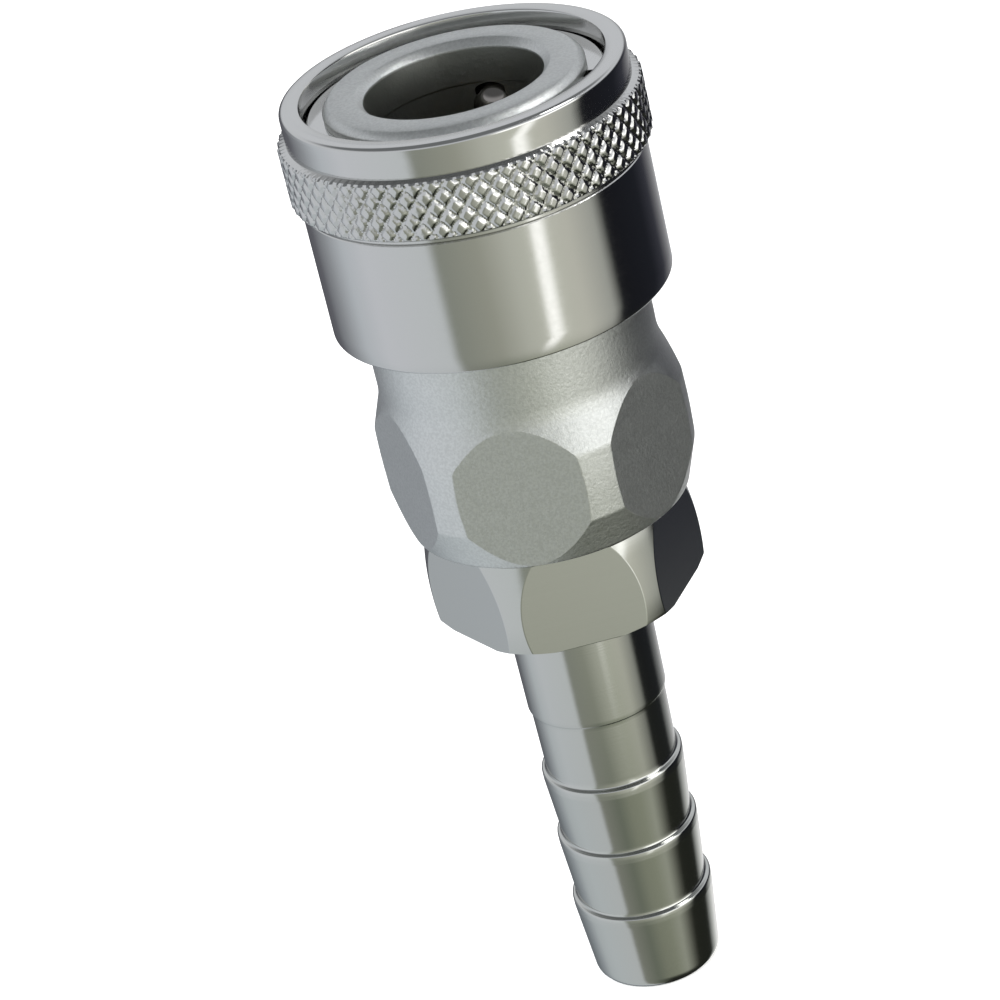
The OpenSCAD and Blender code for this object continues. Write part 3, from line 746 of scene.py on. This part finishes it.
# Each edge is where a panel begins and where it is full, as bearings, or as heights from -1 straight
# down to 1 overhead. The leaning card's bearings are those at the middle height.
WALL_BLEND = (-0.66, -0.46)
CARD_LEAN = 60.0
CARD_LEFT = (45.5, 48.5)
CARD_RIGHT = (59.0, 53.0)
CARD_FOOT = (-0.57, -0.42)
CARD_LIGHT = (1.75, 1.75, 1.6975, 1)
WIDE_CARD_LEFT = (12.0, 22.0)
WIDE_CARD_RIGHT = (80.0, 72.0)
WIDE_CARD_FOOT = (-0.2, 0.1)
WIDE_CARD_LIGHT = (2.2, 2.2, 2.156, 1)
TABLE_SIDE = (-30.0, 20.0)
TABLE_TOP = (-0.76, -0.82)
TABLE_HEX = "2C2E29"
ROOF_EDGE = (0.15, 0.4)
ROOF_MIDDLE = (0.55, 0.75)
ROOF_EDGE_LIGHT = (0.78, 0.8, 0.84, 1)
ROOF_MIDDLE_LIGHT = (0.22, 0.23, 0.24, 1)
LAMP_DIRECTION = (0.644, -0.144, 0.752)
LAMP_EDGE = (0.985, 0.993)
LAMP_LIGHT = (9.0, 9.0, 9.0, 1)

tent_mesh = bpy.data.meshes.new("light_tent")
tent_shape = bmesh.new()
bmesh.ops.create_uvsphere(tent_shape, u_segments=96, v_segments=48, radius=TENT_R)
tent_shape.to_mesh(tent_mesh)
tent_shape.free()
tent = bpy.data.objects.new("light_tent", tent_mesh)
tent.location = (0, 0, TENT_Z)
bpy.context.scene.collection.objects.link(tent)
tent.visible_camera = False
tent.visible_diffuse = False
tent.visible_shadow = False
tent.visible_transmission = False
tent.visible_volume_scatter = False


def wall(tree, bearing, colours):
    """The tent's wall at one height, which goes smoothly from each panel's colour to the next."""
    share = node(tree, "ShaderNodeMapRange", {"Value": bearing}, From_Min=-180, From_Max=180)
    made = node(tree, "ShaderNodeValToRGB", {"Fac": share.outputs["Result"]})
    points = made.color_ramp.elements
    while len(points) < len(PANELS):
        points.new(0.5)
    for point, panel in zip(points, PANELS):
        point.position = (panel[0] + 180) / 360
    for point, colour in zip(points, colours):
        point.color = linear(colour)
    return made.outputs["Color"]


cloth = bpy.data.materials.new("tent panels")
cloth.use_nodes = True
tree = cloth.node_tree
tree.nodes.clear()
place = node(tree, "ShaderNodeTexCoord")
unit = node(tree, "ShaderNodeVectorMath", {0: place.outputs["Object"]}, operation="NORMALIZE")
parts = node(tree, "ShaderNodeSeparateXYZ", {0: unit.outputs["Vector"]})
height = parts.outputs["Z"]
back = node(tree, "ShaderNodeMath", {0: parts.outputs["Y"], 1: -1.0}, operation="MULTIPLY")
angle = node(tree, "ShaderNodeMath", {0: parts.outputs["X"], 1: back.outputs["Value"]}, operation="ARCTAN2")
bearing = node(tree, "ShaderNodeMath", {0: angle.outputs["Value"]}, operation="DEGREES").outputs["Value"]
high_wall = wall(tree, bearing, [high for _, high, _ in PANELS])
low_wall = wall(tree, bearing, [low for _, _, low in PANELS])
light = paint(tree, low_wall, high_wall, (height, *WALL_BLEND))
# The white card leans to the right at its top and ends above the table
leaning = node(tree, "ShaderNodeMath", {0: height, 1: -CARD_LEAN, 2: bearing},
               operation="MULTIPLY_ADD").outputs["Value"]
light = paint(tree, light, CARD_LIGHT, (leaning, *CARD_LEFT), (leaning, *CARD_RIGHT), (height, *CARD_FOOT))
# A wide white card hangs above it
light = paint(tree, light, WIDE_CARD_LIGHT, (bearing, *WIDE_CARD_LEFT), (bearing, *WIDE_CARD_RIGHT),
              (height, *WIDE_CARD_FOOT))
# The table's dark side lies to the right
light = paint(tree, light, linear(TABLE_HEX), (bearing, *TABLE_SIDE), (height, *TABLE_TOP))
# The roof is light round its edge, and a small lamp stands above on the right
roof = paint(tree, ROOF_EDGE_LIGHT, ROOF_MIDDLE_LIGHT, (height, *ROOF_MIDDLE))
light = paint(tree, light, roof, (height, *ROOF_EDGE))
near_lamp = node(tree, "ShaderNodeVectorMath", {0: unit.outputs["Vector"], 1: LAMP_DIRECTION},
                 operation="DOT_PRODUCT")
light = paint(tree, light, LAMP_LIGHT, (near_lamp.outputs["Value"], *LAMP_EDGE))
panel_light = node(tree, "ShaderNodeEmission", {"Color": light}, Strength=1.0)
node(tree, "ShaderNodeOutputMaterial", {"Surface": panel_light.outputs["Emission"]})
tent_mesh.materials.append(cloth)
